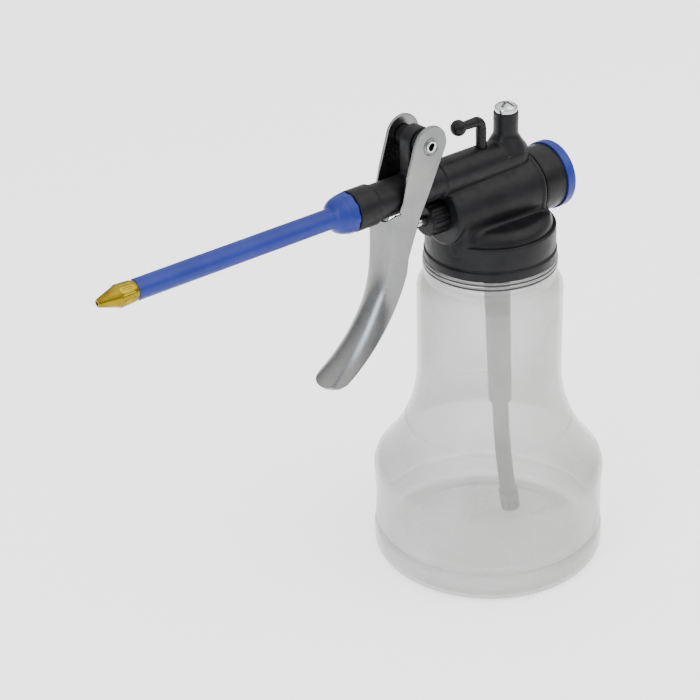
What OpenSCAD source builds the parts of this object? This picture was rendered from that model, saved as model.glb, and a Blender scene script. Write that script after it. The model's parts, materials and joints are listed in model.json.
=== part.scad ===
// Handy oiler can: a clear bottle with a screw-on pump head, a trigger, a long spout and a brass tip.
// The origin is the centre of the bottle's resting ring. +Z is up and +X points along the spout.

/* [Bottle] */
// Diameter of the foot ring
foot_d = 75; // [60:0.5:90]
// Diameter of the straight grip
grip_d = 45.8; // [40:0.2:52]
// Height where the flare meets the straight grip
flare_top_z = 68; // [58:1:76]
// Height where the grip turns in to the neck ring
grip_top_z = 94.6; // [88:0.2:98]
// Height of the bottle's mouth
mouth_z = 112; // [108:0.5:116]
// Radius of the neck's bore
neck_bore_r = 15.9; // [12:0.1:16.2]
// Radius of the neck at the root of its thread
neck_r = 17.5; // [16:0.1:17.8]
// Wall of the bottle
wall = 1.2; // [0.8:0.1:2]
// Rise of the neck thread in one turn
thread_pitch = 3; // [2.5:0.5:4]

/* [Pump head] */
// Outer radius of the screw collar
collar_r = 20.3; // [19.5:0.1:22]
// Height of the screw collar's lower rim
collar_z = 105.9; // [105.4:0.1:107]
// Height of the ledge on top of the collar
ledge_z = 116.6; // [116:0.1:118]
// Height of the pump's axis
pump_z = 125.3; // [124:0.1:127]
// Height of the barrel's and the spout's axis
spout_z = 137; // [135:0.1:140]
// Radius of the pump's bore
pump_bore_r = 6; // [5:0.1:7]
// Front face of the pump cylinder
pump_front_x = 20.5; // [19:0.1:22]
// Rear rim of the pump cylinder
pump_rear_x = -13; // [-14:0.1:-12]
// Front end of the barrel
barrel_front_x = 54.5; // [50:0.1:58]
// Distance of the valve post behind the bottle's axis
post_x = -5.85; // [-8:0.05:-4]
// Height of the valve post's top
post_top_z = 151.5; // [148:0.1:156]

/* [Trigger] */
// Distance of the trigger's pivot in front of the bottle's axis
pivot_x = 29.3; // [26:0.1:32]
// Height of the trigger's pivot
pivot_z = 152.1; // [149:0.1:155]
// Width of the trigger over its ears
trigger_w = 13.4; // [13.4:0.1:18]
// Sheet thickness of the trigger
sheet = 0.9; // [0.8:0.05:1]
// Front face of the trigger's web
web_x = 43.3; // [41:0.1:46]

/* [Spout] */
// Radius of the spout's tube
spout_r = 3.1; // [2.5:0.1:4]
// Front end of the spout's tube
spout_end_x = 127.7; // [90:0.1:170]
// Length of the brass tip outside the spout
tip_l = 11.8; // [10:0.1:16]

/* [Hidden] */
$fn = 64;

black = [0.09, 0.09, 0.1];
zinc = [0.72, 0.73, 0.74];
blue = [0.2, 0.33, 0.72];
brass = [0.78, 0.62, 0.24];
clear = [0.85, 0.87, 0.88, 0.4];
white = [0.88, 0.88, 0.86];
rubber = [0.05, 0.05, 0.05];

// Bottle outline
foot_r = foot_d / 2;
grip_r = grip_d / 2;
waist_r = foot_r - 0.6;
foot_top_z = 8.6;
heel_r = 3;
punt_z = 4.2;
shoulder_r = 5.5;
shoulder_c = [foot_r - 0.2 - shoulder_r, 30];
flare_rise = flare_top_z - shoulder_c[1];
flare_run = grip_r - shoulder_c[0];
// radius of the flare's arc that leaves the grip upright and meets the shoulder's arc smoothly
flare_r = (pow(flare_rise, 2) + pow(flare_run, 2) - pow(shoulder_r, 2)) / (2 * (shoulder_r - flare_run));
flare_c = [grip_r + flare_r, flare_top_z];
meet_angle = atan2(flare_rise, flare_c[0] - shoulder_c[0]);
grip_turn_r = 5.8;
neck_ring_r = 20.6;
ring_angle = acos((neck_ring_r - grip_r + grip_turn_r) / grip_turn_r);
bead_r = neck_ring_r + 0.3;
neck_groove_z = [103.3, 104.8];
neck_groove_r = 19.7;
neck_groove_h = 0.35;

// Neck thread
crest_r = 18.4;
ridge_root = 0.65;
ridge_crest = 0.3;
ridge_steps = 18;
neck_turns = 1.25;
head_turns = 0.85;
neck_thread_z = 107;
cap_bore_r = 18.8;
cap_crest_r = 17.9;

// Pump head
gasket_t = 1;
ceiling_z = mouth_z + gasket_t;
dome_turn_r = 3.8;
dome_r = collar_r - 1.2;
pump_rear_r = 11;
pump_front_r = 9.4;
pump_wall_x = 16.3;
stub_r = 9;
stub_end_x = -19.4;
barrel_r = 5.85;
barrel_thin_r = 5.5;
barrel_step_x = 22;
barrel_rear_x = post_x - 1.8;
muzzle_x = 46.9;
muzzle_r = 6.2;
barrel_bore_r = 1.5;
socket_r = 3.9;
socket_x = 44.4;
spout_seal_t = 1.3;
tip_bore_r = 2;
tip_shank_l = 7.5;
post_r = 3.8;
valve_bore_r = 2.1;
outlet_seat_z = 133.9;
rod_r = 1.6;
rod_bore_r = 1.7;
pin_r = 1.5;
lug_bore_r = 1.56;
lug_r = 4.5;
lug_w = 4.6;
boss_r = 3.3;
boss_w = 11;
gland_pocket_r = 4.4;
gland_pocket_x = 17.4;
seal_t = 1.5;

// End cap
cap_x = -14.2;
cap_end_x = -22.6;
end_cap_r = 10.3;
cap_floor_x = -19.6;
disc_r = 10.7;
disc_end_x = -26;
disc_boss_r = 8.5;
disc_boss_x = -21.4;

// Shut-off lever
shutoff_x = 4.1;
shutoff_r = 1.6;
shutoff_arm_z = 151.2;
shutoff_bend = 2.4;
shutoff_foot_z = 133.7;
ball_end_x = 13.05;
ball_end_r = 2.45;
o_ring_z = 140.6;

// Suction line, in a frame that leans back from the ceiling of the collar
suction_x = -2.2;
suction_lean = 2.6;
sleeve_r = 4;
sleeve_low_r = 3.7;
boss_l = 6.5;
seat_top = -1;
seat_t = 2;
chamber_top = 3.4;
sleeve_top = seat_top - seat_t;
sleeve_end = sleeve_top - 58.5;
thin_tube_r = 2.65;
thin_tube_overlap = 9;
thin_tube_bend_r = 287;
thin_tube_bend = 8;

// Valve balls and springs
inlet_ball_r = 1.9;
inlet_hole_r = 1.3;
inlet_gap = 0.02;
inlet_ball_z = seat_top + sqrt(pow(inlet_ball_r, 2) - pow(inlet_hole_r, 2)) + inlet_gap;
outlet_ball_r = 1.7;
outlet_hole_r = 1;
outlet_ball_z = outlet_seat_z + sqrt(pow(outlet_ball_r, 2) - pow(outlet_hole_r, 2)) + inlet_gap;
outlet_spring_r = 1.3;
outlet_wire_r = 0.22;
screw_shank_z = 146.3;
washer_t = 0.5;

// Piston and its spring
piston_front_x = 15.9;
piston_x = 12.9;
piston_flange_x = 9;
piston_rear_x = 8.2;
piston_tail_x = 6;
piston_core_r = 3;
return_spring_r = 4;
return_wire_r = 0.45;

// Trigger outline: the web is upright to web_bend_z and then follows an arc to the tip
web_bend_z = 128;
web_arc_r = 52;
web_arc_end = 57.5;
tip_depth = 1.9;
flange_taper = 0.1;
web_corner_r = 4.4;
channel_reach = 30;
ear_r = 5.95;
ear_rise = 0.3;
web_top_z = 134;
web_hollow_r = 6.3;
web_arc_c = [web_x + web_arc_r, web_bend_z];
rod_tip_x = web_x - sheet - 0.15;

function arc(c, r, a0, a1, n) = [for (i = [0:n])
    let (a = a0 + (a1 - a0) * i / n) c + r * [cos(a), sin(a)]];

function reversed(list) = [for (i = [len(list) - 1:-1:0]) list[i]];

// one ring of points round a coil's wire, at angle a and height z
function coil_ring(r, wire, z, a, sides) = [for (k = [0:sides - 1])
    let (b = 360 * k / sides, d = r + wire * cos(b)) [d * cos(a), d * sin(a), z + wire * sin(b)]];

// a spring that stands on the XY plane, as one closed tube
module coil(r, wire, height, turns) {
    sides = 6;
    rings = turns * 14;
    rise = height - 2 * wire;
    points = [for (i = [0:rings])
        each coil_ring(r, wire, wire + rise * i / rings, 360 * turns * i / rings, sides)];
    walls = [for (i = [0:rings - 1], k = [0:sides - 1])
        let (a = i * sides + k, b = i * sides + (k + 1) % sides) [a, b, b + sides, a + sides]];
    first_end = [for (k = [sides - 1:-1:0]) k];
    last_end = [for (k = [0:sides - 1]) rings * sides + k];
    polyhedron(points, concat(walls, [first_end, last_end]));
}

// a round bar along +X whose axis is at height z
module along_x(x0, x1, z, r, r_end = 0) {
    translate([x0, 0, z])
        rotate([0, 90, 0])
            cylinder(h = x1 - x0, r1 = r, r2 = r_end > 0 ? r_end : r);
}

// an outline of [distance along x, radius] points turned about the line along +X at height z
module turned_along_x(outline, z) {
    translate([0, 0, z])
        rotate([90, 0, 90])
            rotate_extrude()
                rotate([0, 0, 90])
                    mirror([0, 1])
                        polygon(outline);
}

// a round bar along Y through the point [x, z], as long as w
module along_y(x, z, w, r) {
    translate([x, w / 2, z])
        rotate([90, 0, 0])
            cylinder(h = w, r = r);
}

// a thread ridge built from short level steps that climb with the pitch
module thread_ridge(root, tip, z, turns) {
    step_angle = 360 / ridge_steps;
    for (i = [0:round(turns * ridge_steps) - 1])
        translate([0, 0, z + thread_pitch * i / ridge_steps])
            rotate([0, 0, i * step_angle])
                rotate_extrude(angle = step_angle + 1)
                    polygon([[root, -ridge_root], [tip, -ridge_crest],
                        [tip, ridge_crest], [root, ridge_root]]);
}

// the suction line hangs from the collar's ceiling and leans back
module suction_frame() {
    translate([suction_x, 0, ceiling_z])
        rotate([0, suction_lean, 0])
            children();
}

// the bottle's side from the foot up to the grip, moved in by t
function bottle_side(t) = concat(
    arc([foot_r - heel_r, heel_r], heel_r - t, -90, 0, 6),
    [[foot_r - t, foot_top_z - 0.4], [waist_r - t, foot_top_z + 0.4], [waist_r - 1 - t, foot_top_z + 1.1],
        [waist_r - t, foot_top_z + 1.9], [waist_r - t, 24]],
    arc(shoulder_c, shoulder_r - t, 0, meet_angle, 6),
    arc(flare_c, flare_r + t, 180 + meet_angle, 180, 16));

// a narrow groove round the neck, and the bead over it
function neck_groove(z) = [[neck_groove_r, z], [neck_groove_r, z + neck_groove_h],
    [bead_r, z + neck_groove_h + 0.05]];

module bottle() {
    turn_c = [grip_r - grip_turn_r, grip_top_z];
    outside = concat(
        bottle_side(0),
        arc(turn_c, grip_turn_r, 0, ring_angle, 8),
        [[neck_ring_r, neck_groove_z[0] - 0.05]],
        neck_groove(neck_groove_z[0]),
        [[bead_r, neck_groove_z[1] - 0.05]],
        neck_groove(neck_groove_z[1]),
        [[bead_r, collar_z - 0.2], [neck_r, collar_z - 0.1], [neck_r, mouth_z - 0.4],
            [neck_r - 0.4, mouth_z]]);
    inside = concat(
        [[0, punt_z + wall], [25.5, punt_z + wall - 0.4], [29.5, wall + 0.3]],
        bottle_side(wall),
        arc(turn_c, grip_turn_r - wall, 0, 90, 8),
        [[neck_bore_r, turn_c[1] + grip_turn_r - wall], [neck_bore_r, mouth_z]]);
    underside = [[0, punt_z], [27, punt_z - 0.6], [31, 0]];
    color(clear) {
        rotate_extrude($fn = 96)
            polygon(concat(outside, reversed(inside), underside));
        thread_ridge(neck_r - 0.2, crest_r, neck_thread_z, neck_turns);
    }
}

// a thin ring in the neck's groove at height z
module neck_ring(z) {
    fit = 0.02;
    color(rubber)
        translate([0, 0, z + fit])
            rotate_extrude($fn = 96)
                translate([neck_groove_r + fit, 0])
                    square([bead_r - neck_groove_r - 0.15, neck_groove_h - 2 * fit]);
}

module neck_gasket() {
    color(rubber)
        translate([0, 0, mouth_z])
            rotate_extrude()
                translate([neck_bore_r - 1.5, 0])
                    square([cap_bore_r - neck_bore_r + 1.2, gasket_t]);
}

module collar_and_dome() {
    edge_r = 0.5;
    rim_r = collar_r + 0.3;
    groove_r = collar_r - 0.2;
    groove_z = collar_z + 3.1;
    rotate_extrude($fn = 96)
        polygon(concat(
            [[cap_bore_r, collar_z], [rim_r, collar_z], [rim_r, groove_z - 0.4],
                [groove_r, groove_z - 0.2], [groove_r, groove_z + 0.2], [collar_r, groove_z + 0.4]],
            arc([collar_r - 0.1 - edge_r, ledge_z - edge_r], edge_r, 0, 90, 4),
            arc([dome_r - dome_turn_r, ledge_z], dome_turn_r, 0, 90, 10),
            [[0, ledge_z + dome_turn_r], [0, ceiling_z], [cap_bore_r, ceiling_z]]));
}

module pump_body() {
    // block that carries the pump cylinder, flush with the collar at the front
    intersection() {
        translate([pump_rear_x, -pump_front_r, ledge_z - 2])
            cube([pump_front_x - pump_rear_x, 2 * pump_front_r, pump_z - ledge_z + 2]);
        translate([0, 0, ledge_z - 3])
            cylinder(h = 20, r = collar_r - 0.1, $fn = 96);
    }
    along_x(pump_rear_x, pump_front_x, pump_z, pump_rear_r, pump_front_r);
    along_x(stub_end_x, pump_rear_x + 1, pump_z, stub_r);
}

module barrel() {
    along_x(barrel_rear_x, barrel_step_x, spout_z, barrel_r);
    translate([barrel_rear_x, 0, spout_z])
        sphere(r = barrel_r);
    turned_along_x([[barrel_step_x - 1, 0], [barrel_step_x - 1, barrel_r - 0.05],
        [barrel_step_x, barrel_r - 0.05], [barrel_step_x + 0.6, barrel_thin_r],
        [muzzle_x - 0.3, barrel_thin_r], [muzzle_x, muzzle_r], [barrel_front_x - 0.4, muzzle_r],
        [barrel_front_x, muzzle_r - 0.4], [barrel_front_x, 0]], spout_z);
    // lug and bosses for the trigger's pivot
    translate([pivot_x - lug_r, -lug_w / 2, spout_z + 2])
        cube([2 * lug_r, lug_w, pivot_z - spout_z - 2]);
    along_y(pivot_x, pivot_z, lug_w, lug_r);
    along_y(pivot_x, pivot_z, boss_w, boss_r);
}

module valve_post() {
    translate([post_x, 0, spout_z])
        cylinder(h = post_top_z - spout_z, r = post_r);
    translate([post_x, 0, spout_z + 2.5])
        cylinder(h = 4.9, r1 = 6.6, r2 = post_r - 0.02);
}

module head_passages() {
    // pump bore, rod hole and gland pocket
    along_x(stub_end_x - 1, pump_wall_x, pump_z, pump_bore_r);
    along_x(pump_wall_x - 1, pump_front_x + 1, pump_z, rod_bore_r);
    along_x(gland_pocket_x, pump_front_x + 1, pump_z, gland_pocket_r);
    // outlet from the pump up to the valve post
    translate([post_x, 0, pump_z + pump_bore_r - 1])
        cylinder(h = outlet_seat_z - pump_z - pump_bore_r + 2, r = outlet_hole_r);
    translate([post_x, 0, outlet_seat_z])
        cylinder(h = post_top_z - outlet_seat_z + 1, r = valve_bore_r);
    // barrel bore and the spout's socket
    along_x(post_x, socket_x + 1, spout_z, barrel_bore_r);
    along_x(socket_x, barrel_front_x + 1, spout_z, socket_r);
    // bores of the shut-off lever and of the trigger's pivot
    translate([shutoff_x, 0, shutoff_foot_z - 0.1])
        cylinder(h = barrel_r * 2, r = shutoff_r + 0.05);
    along_y(pivot_x, pivot_z, boss_w + 2, lug_bore_r);
    suction_frame() {
        // sleeve's socket, ball chamber, way up to the pump bore, and slots past the lifted ball
        translate([0, 0, seat_top - 10])
            cylinder(h = 10, r = sleeve_r);
        translate([0, 0, seat_top - 0.1])
            cylinder(h = chamber_top - seat_top + 0.1, r = inlet_ball_r + 0.5);
        translate([0, 0, chamber_top - 0.4])
            cylinder(h = 4.2, r = 0.9);
        for (a = [0, 90])
            rotate([0, 0, a])
                translate([-2.3, -0.4, chamber_top - 0.4])
                    cube([4.6, 0.8, 1.2]);
    }
    // room for the end cap behind the dome
    difference() {
        along_x(-30, pump_rear_x - 0.03, pump_z, end_cap_r + 0.5);
        along_x(stub_end_x, pump_rear_x, pump_z, stub_r);
    }
}

module pump_head() {
    color(black) {
        difference() {
            union() {
                collar_and_dome();
                pump_body();
                barrel();
                valve_post();
                suction_frame()
                    translate([0, 0, -boss_l])
                        cylinder(h = boss_l + 1, r = sleeve_r + 1.4);
            }
            head_passages();
        }
        thread_ridge(cap_bore_r + 0.2, cap_crest_r, neck_thread_z + thread_pitch / 2, head_turns);
    }
}

module end_cap() {
    color(black)
        difference() {
            turned_along_x([[cap_end_x, 0], [cap_end_x, end_cap_r], [cap_x - 0.4, end_cap_r],
                [cap_x, end_cap_r - 0.4], [cap_x, 0]], pump_z);
            along_x(cap_floor_x, cap_x + 1, pump_z, stub_r + 0.02);
            along_x(cap_end_x - 1, disc_boss_x, pump_z, disc_boss_r);
        }
}

module end_cap_disc() {
    color(blue)
        turned_along_x([[disc_end_x, 0], [disc_end_x, disc_r - 1.2], [disc_end_x + 0.4, disc_r - 0.5],
            [disc_end_x + 1.2, disc_r], [cap_end_x, disc_r], [cap_end_x, disc_boss_r],
            [disc_boss_x, disc_boss_r], [disc_boss_x, 0]], pump_z);
}

module end_cap_o_ring() {
    section_r = 0.56;
    color(rubber)
        translate([(pump_rear_x + cap_x) / 2, 0, pump_z])
            rotate([0, 90, 0])
                rotate_extrude()
                    translate([stub_r + 0.04 + section_r, 0])
                        circle(r = section_r, $fn = 24);
}

module front_gland() {
    gland_r = 5.3;
    gland_end_x = 26.6;
    core_r = gland_r - 0.45;
    rib_count = 14;
    rib_w = 0.9;
    rib_h = 1.5;
    color(black)
        difference() {
            union() {
                along_x(gland_pocket_x + seal_t, pump_front_x + 0.1, pump_z, gland_pocket_r);
                along_x(pump_front_x, gland_end_x, pump_z, core_r);
                for (i = [0:rib_count - 1])
                    translate([pump_front_x + 0.2, 0, pump_z])
                        rotate([i * 360 / rib_count, 0, 0])
                            translate([0, -rib_w / 2, gland_r - rib_h])
                                cube([gland_end_x - pump_front_x - 0.8, rib_w, rib_h]);
            }
            along_x(gland_pocket_x, gland_end_x + 1, pump_z, rod_bore_r);
        }
}

module rod_seal() {
    color(rubber)
        difference() {
            along_x(gland_pocket_x, gland_pocket_x + seal_t, pump_z, gland_pocket_r);
            along_x(gland_pocket_x - 1, gland_pocket_x + seal_t + 1, pump_z, rod_r + 0.04);
        }
}

module piston_rod() {
    color(zinc) {
        along_x(piston_tail_x + 1, rod_tip_x - rod_r, pump_z, rod_r);
        translate([rod_tip_x - rod_r, 0, pump_z])
            sphere(r = rod_r);
    }
}

module piston() {
    flange_r = piston_core_r + 1.6;
    crown_r = pump_bore_r - 0.1;
    color(white)
        difference() {
            turned_along_x([[piston_tail_x, 0], [piston_tail_x, piston_core_r - 0.4],
                [piston_rear_x, piston_core_r - 0.4], [piston_rear_x, flange_r],
                [piston_flange_x, flange_r], [piston_flange_x, piston_core_r],
                [piston_x, piston_core_r], [piston_x, crown_r], [piston_front_x, crown_r],
                [piston_front_x, 0]], pump_z);
            along_x(piston_tail_x + 1, piston_front_x + 1, pump_z, rod_r);
        }
}

module piston_cup_seal() {
    lip_r = pump_bore_r - 0.05;
    lip_x = piston_flange_x + 0.3;
    core_r = piston_core_r + 0.9;
    hollow_x = piston_x - 1.4;
    color(rubber)
        turned_along_x([[piston_x, piston_core_r], [piston_x, lip_r - 0.2], [lip_x, lip_r],
            [lip_x, lip_r - 0.9], [hollow_x, lip_r - 1.4], [hollow_x, core_r],
            [piston_flange_x, core_r], [piston_flange_x, piston_core_r]], pump_z);
}

module return_spring() {
    color(zinc)
        translate([cap_floor_x + 0.05, 0, pump_z])
            rotate([0, 90, 0])
                coil(return_spring_r, return_wire_r, piston_rear_x - cap_floor_x - 0.1, 8);
}

// depth of the flanges behind the web at angle a of the arc, 0 at the bend
function flange_depth(a) = tip_depth + flange_taper * (web_arc_end - a);

// side outline of the whole trigger: round ears, upright web, then an arc to the tip
trigger_outline = concat(
    arc([pivot_x, pivot_z + ear_rise], ear_r, 200, 15, 16),
    [[38.1, 144.3], [39.8, 137.2], [41.2, 134], [web_x, 130.5]],
    arc(web_arc_c, web_arc_r, 180, 180 + web_arc_end, 14),
    [for (i = [0:12])
        let (a = web_arc_end + (14 - web_arc_end) * i / 12)
            web_arc_c - (web_arc_r + flange_depth(a)) * [cos(a), sin(a)]],
    [[37.9, 119.3], [35.9, 124.5], [33.5, 130.6], [30, 137.2], [25.2, 147.4]]);

// half of the channel's cross-section, mirrored: web facing +X at x = 0 and flanges reaching back
function channel_section(inset) = let (r = web_corner_r - inset, y = trigger_w / 2 - web_corner_r) concat(
    [[-channel_reach, y + r]],
    arc([-web_corner_r, y], r, 90, 0, 6),
    arc([-web_corner_r, -y], r, 0, -90, 6),
    [[-channel_reach, -y - r]]);

// solid bar with the channel's outside shape: upright over the bend, along the arc under it
module channel_bar(inset) {
    translate([web_x, 0, web_bend_z])
        linear_extrude(50)
            polygon(channel_section(inset));
    translate([web_arc_c[0], 0, web_arc_c[1]])
        mirror([1, 0, 0])
            rotate([-90, 0, 0])
                rotate_extrude(angle = web_arc_end + 6, $fn = 240)
                    translate([web_arc_r, 0])
                        mirror([1, 0])
                            polygon(channel_section(inset));
}

module trigger_slab(outline, w) {
    translate([0, w / 2, 0])
        rotate([90, 0, 0])
            linear_extrude(w)
                polygon(outline);
}

// everything behind the trigger's tip, with a half-round end of radius r seen square on to the tip
module tip_prism(r) {
    tip = web_arc_c - web_arc_r * [cos(web_arc_end), sin(web_arc_end)];
    translate([tip[0], 0, tip[1]])
        rotate([0, 90 - web_arc_end, 0])
            translate([-trigger_w / 2, 0, 0]) {
                translate([0, 0, -15])
                    cylinder(h = 30, r = r);
                translate([-150, -r, -60])
                    cube([150, 2 * r, 160]);
            }
}

module trigger_lever() {
    color(zinc)
        difference() {
            intersection() {
                trigger_slab(trigger_outline, trigger_w);
                channel_bar(0);
                tip_prism(trigger_w / 2);
            }
            channel_bar(sheet);
            // room between the ears, over the web
            translate([0, -trigger_w / 2 + sheet, web_top_z])
                cube([web_x + 5, trigger_w - 2 * sheet, 40]);
            // hollow in the web's top edge, under the barrel
            along_x(web_x - 2.2, web_x + 2, spout_z, web_hollow_r);
            along_y(pivot_x, pivot_z, 2 * trigger_w, pin_r);
        }
}

module pivot_pin() {
    head_r = 1.95;
    head_t = 0.5;
    color(zinc)
        difference() {
            union() {
                along_y(pivot_x, pivot_z, trigger_w, pin_r);
                for (side = [-1, 1])
                    translate([0, side * (trigger_w + head_t) / 2, 0])
                        along_y(pivot_x, pivot_z, head_t, head_r);
            }
            along_y(pivot_x, pivot_z, 2 * trigger_w, 0.85);
        }
}

module valve_screw() {
    head_r = 3.6;
    head_z = post_top_z + washer_t;
    edge_h = 0.9;
    dome_h = 1.4;
    dome_arc_r = (head_r * head_r + dome_h * dome_h) / (2 * dome_h);
    dome_c = [0, head_z + edge_h + dome_h - dome_arc_r];
    recess_l = 4.2;
    recess_w = 0.8;
    color(zinc)
        translate([post_x, 0, 0])
            difference() {
                rotate_extrude()
                    polygon(concat([[0, screw_shank_z], [valve_bore_r - 0.02, screw_shank_z],
                        [valve_bore_r - 0.02, head_z], [head_r, head_z]],
                        arc(dome_c, dome_arc_r, acos(head_r / dome_arc_r), 90, 8)));
                for (a = [0, 90])
                    rotate([0, 0, a + 20])
                        translate([-recess_l / 2, -recess_w / 2, head_z + edge_h])
                            cube([recess_l, recess_w, 2]);
            }
}

module screw_washer() {
    color(zinc)
        translate([post_x, 0, post_top_z])
            difference() {
                cylinder(h = washer_t, r = 3.4);
                translate([0, 0, -1])
                    cylinder(h = washer_t + 2, r = valve_bore_r + 0.05);
            }
}

module outlet_valve_ball() {
    color(zinc)
        translate([post_x, 0, outlet_ball_z])
            sphere(r = outlet_ball_r);
}

module outlet_valve_spring() {
    touch_r = outlet_ball_r + outlet_wire_r;
    rise = sqrt(pow(touch_r, 2) - pow(outlet_spring_r, 2)) - outlet_wire_r;
    foot_z = outlet_ball_z + rise + 0.03;
    color(zinc)
        translate([post_x, 0, foot_z])
            coil(outlet_spring_r, outlet_wire_r, screw_shank_z - foot_z - 0.03, 8);
}

module inlet_valve_seat() {
    color(brass)
        suction_frame()
            translate([0, 0, seat_top - seat_t])
                difference() {
                    cylinder(h = seat_t, r = sleeve_r);
                    translate([0, 0, -1])
                        cylinder(h = seat_t + 2, r = inlet_hole_r);
                }
}

module inlet_valve_ball() {
    color(zinc)
        suction_frame()
            translate([0, 0, inlet_ball_z])
                sphere(r = inlet_ball_r);
}

module suction_sleeve() {
    flange_z = -boss_l - 0.5;
    bore_foot = sleeve_end + thin_tube_overlap;
    color(white)
        suction_frame()
            rotate_extrude()
                polygon([[sleeve_r - 1, sleeve_top], [sleeve_r, sleeve_top], [sleeve_r, flange_z],
                    [sleeve_r + 0.3, flange_z], [sleeve_low_r, sleeve_end], [thin_tube_r, sleeve_end],
                    [thin_tube_r, bore_foot], [sleeve_r - 1, bore_foot + 2]]);
}

// places its children at the lower end of the thin tube's bend
module thin_tube_end() {
    translate([-thin_tube_bend_r, 0, sleeve_end])
        rotate([0, thin_tube_bend, 0])
            translate([thin_tube_bend_r, 0, 0])
                children();
}

module suction_tube() {
    wall_t = 0.75;
    color(white)
        suction_frame() {
            translate([0, 0, sleeve_end])
                rotate_extrude()
                    translate([thin_tube_r - wall_t, 0])
                        square([wall_t, thin_tube_overlap]);
            translate([-thin_tube_bend_r, 0, sleeve_end])
                rotate([-90, 0, 0])
                    rotate_extrude(angle = thin_tube_bend, $fn = 720)
                        translate([thin_tube_bend_r, 0])
                            difference() {
                                circle(r = thin_tube_r, $fn = 32);
                                circle(r = thin_tube_r - wall_t, $fn = 32);
                            }
        }
}

module suction_strainer() {
    cup_r = 3.2;
    cup_top = 3;
    cup_foot = -4;
    slot_w = 0.7;
    color(white)
        suction_frame()
            thin_tube_end()
                difference() {
                    translate([0, 0, cup_foot])
                        cylinder(h = cup_top - cup_foot, r = cup_r);
                    cylinder(h = cup_top + 1, r = thin_tube_r + 0.02);
                    translate([0, 0, cup_foot + 0.8])
                        cylinder(h = 5, r = thin_tube_r - 0.9);
                    for (a = [0:45:135])
                        rotate([0, 0, a])
                            translate([-cup_r - 1, -slot_w / 2, cup_foot + 1])
                                cube([2 * cup_r + 2, slot_w, 2.2]);
                }
}

module shutoff_lever() {
    groove_r = 1.2;
    bend_z = shutoff_arm_z - shutoff_bend;
    color(black)
        difference() {
            union() {
                translate([shutoff_x, 0, shutoff_foot_z])
                    cylinder(h = bend_z - shutoff_foot_z, r = shutoff_r);
                translate([shutoff_x + shutoff_bend, 0, bend_z])
                    rotate([90, 0, 0])
                        rotate([0, 0, 90])
                            rotate_extrude(angle = 90)
                                translate([shutoff_bend, 0])
                                    circle(r = shutoff_r, $fn = 32);
                along_x(shutoff_x + shutoff_bend, ball_end_x, shutoff_arm_z, shutoff_r, shutoff_r - 0.2);
                translate([ball_end_x, 0, shutoff_arm_z])
                    sphere(r = ball_end_r);
            }
            // groove for the o-ring and the way through for the oil
            translate([shutoff_x, 0, o_ring_z - 0.3])
                rotate_extrude()
                    translate([groove_r, 0])
                        square([1, 0.6]);
            along_x(shutoff_x - 3, shutoff_x + 3, spout_z, 0.9);
        }
}

module shutoff_o_ring() {
    section_r = 0.2;
    color(rubber)
        translate([shutoff_x, 0, o_ring_z])
            rotate_extrude()
                translate([1.22 + section_r, 0])
                    circle(r = section_r, $fn = 16);
}

module spout() {
    bore_r = 1.4;
    flange_r = 5.95;
    flange_x = barrel_front_x + 0.2;
    flange_end_x = flange_x + 2.8;
    shank_x = socket_x + spout_seal_t;
    shank_r = socket_r - 0.02;
    bore_end_x = spout_end_x - tip_shank_l - 0.5;
    dome_c = [flange_end_x, 1];
    dome_arc_r = flange_r - 0.35 - dome_c[1];
    rib_r = 0.45;
    rib_count = 12;
    color(blue) {
        turned_along_x(concat(
            [[shank_x, bore_r], [shank_x, shank_r], [flange_x, shank_r], [flange_x, flange_r - 0.4],
                [flange_x + 0.4, flange_r], [flange_end_x, flange_r]],
            arc(dome_c, dome_arc_r, 90, asin((spout_r - dome_c[1]) / dome_arc_r), 8),
            [[spout_end_x - 0.3, spout_r], [spout_end_x, spout_r - 0.3], [spout_end_x, tip_bore_r],
                [bore_end_x, tip_bore_r], [bore_end_x, bore_r]]), spout_z);
        for (i = [0:rib_count - 1])
            translate([0, 0, spout_z])
                rotate([i * 360 / rib_count, 0, 0])
                    translate([0, 0, flange_r - 0.15])
                        along_x(flange_x + 0.3, flange_end_x - 0.1, 0, rib_r);
    }
}

module spout_seal() {
    color(rubber)
        difference() {
            along_x(socket_x, socket_x + spout_seal_t, spout_z, socket_r - 0.05);
            along_x(socket_x - 1, socket_x + spout_seal_t + 1, spout_z, barrel_bore_r + 0.2);
        }
}

module nozzle_tip() {
    x0 = spout_end_x + 0.03;
    wide_x = x0 + 5.6;
    wide_r = spout_r + 0.25;
    shank_x = spout_end_x - tip_shank_l;
    shank_r = tip_bore_r - 0.05;
    end_x = spout_end_x + tip_l;
    flute_count = 14;
    flute_lean = 5;
    jet_r = 0.5;
    channel_r = 0.9;
    color(brass)
        difference() {
            turned_along_x([[shank_x, channel_r], [shank_x, shank_r], [x0, shank_r], [x0, spout_r - 0.25],
                [wide_x, wide_r], [wide_x + 0.4, wide_r - 0.05], [end_x - 0.4, 1.3], [end_x, 1],
                [end_x, jet_r], [end_x - 2, jet_r], [end_x - 2.5, channel_r]], spout_z);
            for (i = [0:flute_count - 1])
                translate([0, 0, spout_z])
                    rotate([i * 360 / flute_count, 0, 0])
                        translate([x0 - 0.2, 0, spout_r - 0.05])
                            rotate([0, 90 - flute_lean, 0])
                                cylinder(h = 5.2, r = 0.25, $fn = 16);
        }
}

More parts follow.
